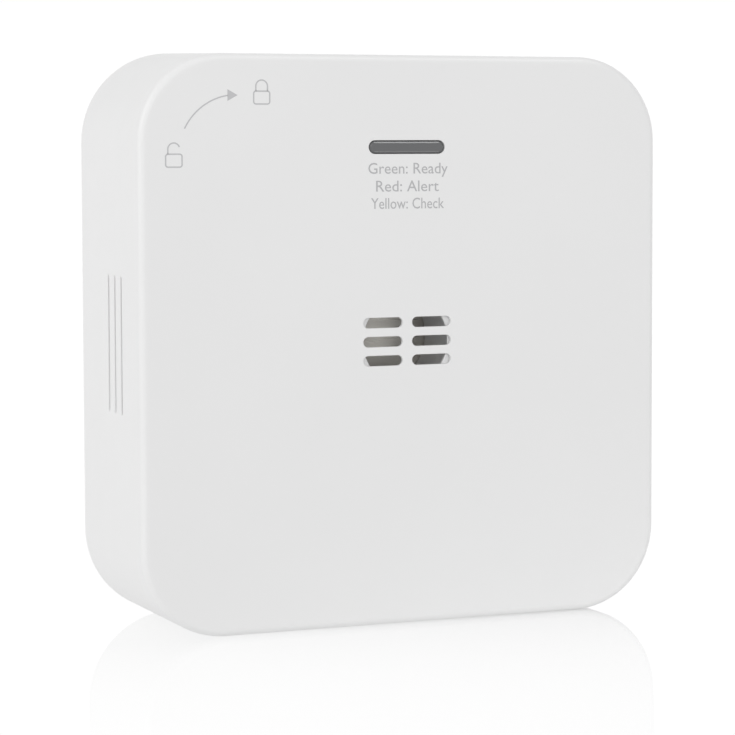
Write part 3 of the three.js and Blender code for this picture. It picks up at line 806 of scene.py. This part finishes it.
def build_screws():
    """Pan-head screws with a cross recess in the cover's four cups."""
    top = COVER_BACK - 0.2
    head, rounding, crown, head_height = 2.8, 0.9, 0.7, 1.6
    shank, shank_end, tip, tip_radius = 1.25, 10.5, 11.5, 0.2
    recess_length, recess_width, recess_depth = 3.4, 0.7, 0.9
    steps = 6
    profile = [(0, top)]
    for step in range(steps + 1):
        angle = math.pi / 2 * step / steps
        profile.append((head - rounding + rounding * math.sin(angle), top - crown * (1 - math.cos(angle))))
    profile += [(head, top - head_height), (shank, top - head_height), (shank, top - shank_end)]
    profile += [(tip_radius, top - tip), (0, top - tip)]
    for number, (x, z) in enumerate(CASE_POSTS, 1):
        node = f"case_screw_{number}"
        mesh = bmesh.new()
        add_turned(mesh, profile, x, z, 40)
        piece = make_piece(f"{node}_round", mesh, finish_of(node))
        for size in ((recess_length, recess_width), (recess_width, recess_length)):
            recess = bmesh.new()
            outline = rounded_outline(*size, 0.15, x, z, 3)
            add_prism(recess, outline, top - recess_depth, top + OVERRUN)
            cut(piece, recess)
        shade(piece)
        finish_piece(piece, node)


# half of an AA cell's outline, as (radius, distance from the flat end)
CELL_PROFILE = (
    (0, 0), (6.1, 0), (6.3, 0.3), (6.9, 0.35), (7.1, 0.6), (7.15, 1.0), (7.15, 48.4), (7.05, 48.8),
    (6.7, 49.0), (6.3, 49.0), (6.1, 49.3), (2.9, 49.3), (2.7, 49.5), (2.65, 50.3), (2.4, 50.5), (0, 50.5),
)
CELL_BARE_RADIUS = 6.4  # the bare metal ends inside this, more than CELL_BARE_REACH from the middle
CELL_BARE_REACH = 20


def build_cells():
    """Two AA cells: a wrapped barrel with bare ends and a button contact."""
    for node, facing in (("battery_lower", 1), ("battery_upper", -1)):
        low, high = node_box(node)
        y, z = (low.y + high.y) / 2, (low.z + high.z) / 2
        start = low.x if facing > 0 else high.x
        mesh = bmesh.new()
        add_turned(mesh, CELL_PROFILE)
        turn = Matrix(((0, facing, 0, start), (1, 0, 0, y), (0, 0, 1, z), (0, 0, 0, 1)))
        bmesh.ops.transform(mesh, matrix=turn, verts=mesh.verts)
        piece = make_piece(f"{node}_round", mesh, finish_of(node), lift=0)
        piece.data.materials.append(FINISHES["steel"])
        middle = (low.x + high.x) / 2 * MM
        for face in piece.data.polygons:
            from_axis = math.hypot(face.center.y - y * MM, face.center.z - z * MM)
            at_an_end = abs(face.center.x - middle) > CELL_BARE_REACH * MM
            if from_axis < CELL_BARE_RADIUS * MM and at_an_end:
                face.material_index = 1
        shade(piece)
        finish_piece(piece, node)


def dress_cad_nodes():
    """Gives the CAD's own solids their finish and softened edges."""
    for node, piece in frame["nodes"].items():
        piece.data.materials.clear()
        piece.data.materials.append(WOVEN if node.startswith("vent_screen") else finish_of(node))
        weld = piece.modifiers.new("weld", "WELD")
        weld.merge_threshold = 0.01 * MM
        soften(piece, 0.12)


# ---------------------------------------------------------------- printing on the front
STROKE = 0.23
PRINT_LEVELS = (FRONT_Y, FRONT_Y + 2 * PRINT_HEIGHT)
# each line's words, the height of its base above the twist axis, and its left and right end
LEGEND = (
    ("Green: Ready", 29.55, -7.3, 7.7),
    ("Red: Alert", 26.43, -5.85, 6.0),
    ("Yellow: Check", 23.4, -6.8, 7.0),
)
CAP_HEIGHT = 1.9
OPEN_PADLOCK = (-42.6, 32.0)
CLOSED_PADLOCK = (-26.85, 42.75)
ARROW_CENTRE = (-31.3, 32.75)
ARROW_RADIUS = 10.48
ARROW_HEAD = ((-33.0, 44.15), (-31.2, 43.15), (-33.0, 42.15))


def add_stroke(mesh, points, closed=False):
    """A printed line of even width along (x, z) points."""
    count = len(points)
    places = [Vector(point) for point in points]
    sides = ([], [])
    for i, place in enumerate(places):
        directions = []
        if closed or i > 0:
            directions.append((place - places[i - 1]).normalized())
        if closed or i < count - 1:
            directions.append((places[(i + 1) % count] - place).normalized())
        along = sum(directions, Vector((0, 0))).normalized()
        reach = STROKE / 2 / max(0.5, along.dot(directions[0]))
        across = Vector((-along.y, along.x)) * reach
        sides[0].append(place + across)
        sides[1].append(place - across)
    rows = [[mesh.verts.new((p.x, y, p.y)) for p in side] for side in sides for y in PRINT_LEVELS]
    ring = (rows[0], rows[1], rows[3], rows[2])
    last = count if closed else count - 1
    for a, b in zip(ring, ring[1:] + ring[:1]):
        for i in range(last):
            j = (i + 1) % count
            mesh.faces.new((a[i], a[j], b[j], b[i]))
    if not closed:
        mesh.faces.new([row[0] for row in ring])
        mesh.faces.new([row[-1] for row in reversed(ring)])


def add_padlock(mesh, x, z, is_open):
    """A padlock's outline, with the middle of its body at (x, z)."""
    width, height, radius, rise = 2.9, 2.2, 1.05, 0.85
    add_stroke(mesh, rounded_outline(width, height, 0.4, x, z, 4), closed=True)
    top = z + height / 2
    shackle = [(x - radius, top)] + arc(x, top + rise, radius, 180, 20 if is_open else 0)
    if not is_open:
        shackle.append((x + radius, top))
    add_stroke(mesh, shackle)


def build_symbols():
    """Open padlock, arrow, closed padlock: turn clockwise to lock the detector on its plate."""
    mesh = bmesh.new()
    add_padlock(mesh, *OPEN_PADLOCK, True)
    add_padlock(mesh, *CLOSED_PADLOCK, False)
    add_stroke(mesh, arc(*ARROW_CENTRE, ARROW_RADIUS, 153.5, 99, 24))
    add_prism(mesh, ARROW_HEAD, *PRINT_LEVELS)
    piece = make_piece("lock_symbols", mesh, SYMBOL_INK)
    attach(piece, "detector")


def letter_mesh(words):
    """The words as a mesh in Blender's built-in lettering, flat in X and Y and one unit thick in Z."""
    curve = bpy.data.curves.new("letters", "FONT")
    curve.body = words
    curve.size = 1
    curve.extrude = 0.5
    curve.resolution_u = 3
    holder = bpy.data.objects.new("letters", curve)
    bpy.context.scene.collection.objects.link(holder)
    bpy.context.view_layer.update()
    graph = bpy.context.evaluated_depsgraph_get()
    data = bpy.data.meshes.new_from_object(holder.evaluated_get(graph))
    bpy.data.objects.remove(holder)
    return data


def build_legend():
    """Three lines of plain status words under the indicator bar."""
    for number, (words, base, left, right) in enumerate(LEGEND, 1):
        data = letter_mesh(words)
        low_x = min(v.co.x for v in data.vertices)
        high_x = max(v.co.x for v in data.vertices)
        cap = max(v.co.y for v in data.vertices)
        for v in data.vertices:
            x = left + (v.co.x - low_x) * (right - left) / (high_x - low_x)
            z = base + v.co.y * CAP_HEIGHT / cap
            y = FRONT_Y + PRINT_HEIGHT * (1 - 2 * v.co.z)
            v.co = Vector((x, y, z + AXIS_Z)) * MM
        data.materials.clear()
        data.materials.append(INK)
        piece = bpy.data.objects.new(f"legend_line_{number}", data)
        bpy.context.scene.collection.objects.link(piece)
        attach(piece, "detector")


# ---------------------------------------------------------------- studio, in metres apart from the camera
CAMERA_PLACE = (-159.5, -416.8, 85.3)  # millimetres, and the angles below are in degrees
CAMERA_YAW = 20.835
CAMERA_PITCH = 3.47
CAMERA_ROLL = -0.18
CAMERA_LENS = 119.6
CAMERA_SHIFT = -0.0952  # the frame sits a little below the lens's axis
WHITE = (1, 1, 1, 1)
SEEN_LEVEL = 1.02
SKY_AMBIENT = 0.555
FLOOR_AMBIENT = 0.745
FLOOR_REACH = 3  # from the floor's middle to each side
FLOOR_GAP = 0.00005
MIRROR_EDGE = 0.045  # from this far left of the axis to this far right, MIRROR_LEFT grows to MIRROR_RIGHT: on the right the floor glows less and mirrors the detector's dark underside more, as painted shadow
MIRROR_LEFT = 0.17
MIRROR_RIGHT = 0.6
MIRROR_FAR = 0.09
MIRROR_FADE = 0.045
# each softbox's place, what it points at, its width and height, and its power in watts
SOFTBOXES = {
    "key": ((-1.3, -0.32, 0.5), (0, 0, 0.05), (0.8, 0.9), 5.7),
    "front": ((-0.25, -1.3, 0.5), (0, 0, 0.05), (1.2, 0.3), 2.5),
    "top_right": ((0.4, -0.58, 0.93), (0, 0, 0.08), (0.36, 0.3), 2.0),
}


def build_camera():
    yaw, pitch, roll = (math.radians(a) for a in (CAMERA_YAW, CAMERA_PITCH, CAMERA_ROLL))
    forward = Vector((math.sin(yaw) * math.cos(pitch), math.cos(yaw) * math.cos(pitch), -math.sin(pitch)))
    level = Vector((math.cos(yaw), -math.sin(yaw), 0))
    upright = level.cross(forward)
    right = math.cos(roll) * level + math.sin(roll) * upright
    up = -math.sin(roll) * level + math.cos(roll) * upright
    turn = Matrix((right, up, -forward)).transposed()
    data = bpy.data.cameras.new("camera")
    data.lens = CAMERA_LENS
    data.sensor_width = 36
    data.shift_y = CAMERA_SHIFT
    data.clip_start = 0.01
    camera = bpy.data.objects.new("camera", data)
    camera.matrix_world = Matrix.Translation(Vector(CAMERA_PLACE) * MM) @ turn.to_4x4()
    bpy.context.scene.collection.objects.link(camera)
    bpy.context.scene.camera = camera


def seen_white(tree, ambient):
    """White where it is looked at or mirrored, and the ambient level where it lights something."""
    path = tree.nodes.new("ShaderNodeLightPath")
    looked_at = math_node(tree, "MAXIMUM", path.outputs["Is Camera Ray"], path.outputs["Is Glossy Ray"])
    return math_node(tree, "ADD", ambient, math_node(tree, "MULTIPLY", looked_at, SEEN_LEVEL - ambient))


def build_world():
    world = bpy.data.worlds.new("studio")
    bpy.context.scene.world = world
    world.use_nodes = True
    background = world.node_tree.nodes["Background"]
    background.inputs["Color"].default_value = WHITE
    world.node_tree.links.new(seen_white(world.node_tree, SKY_AMBIENT), background.inputs["Strength"])
    bpy.context.scene.view_settings.view_transform = "Standard"


def mirror_share(tree):
    """How much the floor mirrors: more on the right than on the left, which darkens the floor by the
    detector's right side as painted shadow, and less and less in front of the detector's face."""
    place = tree.nodes.new("ShaderNodeTexCoord")
    split = tree.nodes.new("ShaderNodeSeparateXYZ")
    tree.links.new(place.outputs["Object"], split.inputs["Vector"])
    from_rim = math_node(tree, "MULTIPLY", split.outputs["Y"], -1)
    ahead = math_node(tree, "MAXIMUM", math_node(tree, "SUBTRACT", from_rim, DEPTH * MM), 0)
    fade = math_node(tree, "EXPONENT", math_node(tree, "DIVIDE", ahead, -MIRROR_FADE))
    # painted shadow: towards the right the floor's glow gives way to the mirror, so the floor reads darker by
    # the detector's right side
    across = map_range(tree, split.outputs["X"], (-MIRROR_EDGE, MIRROR_EDGE), (MIRROR_LEFT, MIRROR_RIGHT))
    return math_node(tree, "ADD", math_node(tree, "MULTIPLY", across, fade), MIRROR_FAR)


def glossy_floor():
    """A glowing white that mirrors what stands on it."""
    material = bpy.data.materials.new("glossy_floor")
    material.use_nodes = True
    tree = material.node_tree
    tree.nodes.clear()
    output = tree.nodes.new("ShaderNodeOutputMaterial")
    glow = tree.nodes.new("ShaderNodeEmission")
    glow.inputs["Color"].default_value = WHITE
    tree.links.new(seen_white(tree, FLOOR_AMBIENT), glow.inputs["Strength"])
    mirror = tree.nodes.new("ShaderNodeBsdfGlossy")
    mirror.inputs["Color"].default_value = WHITE
    mirror.inputs["Roughness"].default_value = 0.0
    mix = tree.nodes.new("ShaderNodeMixShader")
    tree.links.new(mirror_share(tree), mix.inputs["Fac"])
    tree.links.new(glow.outputs["Emission"], mix.inputs[1])
    tree.links.new(mirror.outputs["BSDF"], mix.inputs[2])
    tree.links.new(mix.outputs["Shader"], output.inputs["Surface"])
    return material


def build_floor():
    """A floor just under the drafted lower side all along, so it tilts by the draft about the rear rim."""
    data = bpy.data.meshes.new("floor")
    mesh = bmesh.new()
    bmesh.ops.create_grid(mesh, x_segments=1, y_segments=1, size=FLOOR_REACH)
    mesh.to_mesh(data)
    mesh.free()
    data.materials.append(glossy_floor())
    floor = bpy.data.objects.new("floor", data)
    tilt = Matrix.Rotation(-DRAFT_ANGLE, 4, "X")
    floor.matrix_world = Matrix.Translation((0, RIM_Y * MM, -FLOOR_GAP)) @ tilt
    bpy.context.scene.collection.objects.link(floor)


def build_softboxes():
    for name, (place, aim, size, power) in SOFTBOXES.items():
        data = bpy.data.lights.new(name, "AREA")
        data.shape = "RECTANGLE"
        data.size, data.size_y = size
        data.energy = power
        light = bpy.data.objects.new(name, data)
        light.location = Vector(place)
        light.rotation_euler = (Vector(aim) - Vector(place)).to_track_quat("-Z", "Y").to_euler()
        light.visible_camera = False
        bpy.context.scene.collection.objects.link(light)


build_camera()
build_world()
build_floor()
build_softboxes()
dress_cad_nodes()
build_housing()
build_lens()
build_button()
build_sounder()
build_wires()
build_plate()
build_chassis()
build_screws()
build_cells()
build_symbols()
build_legend()
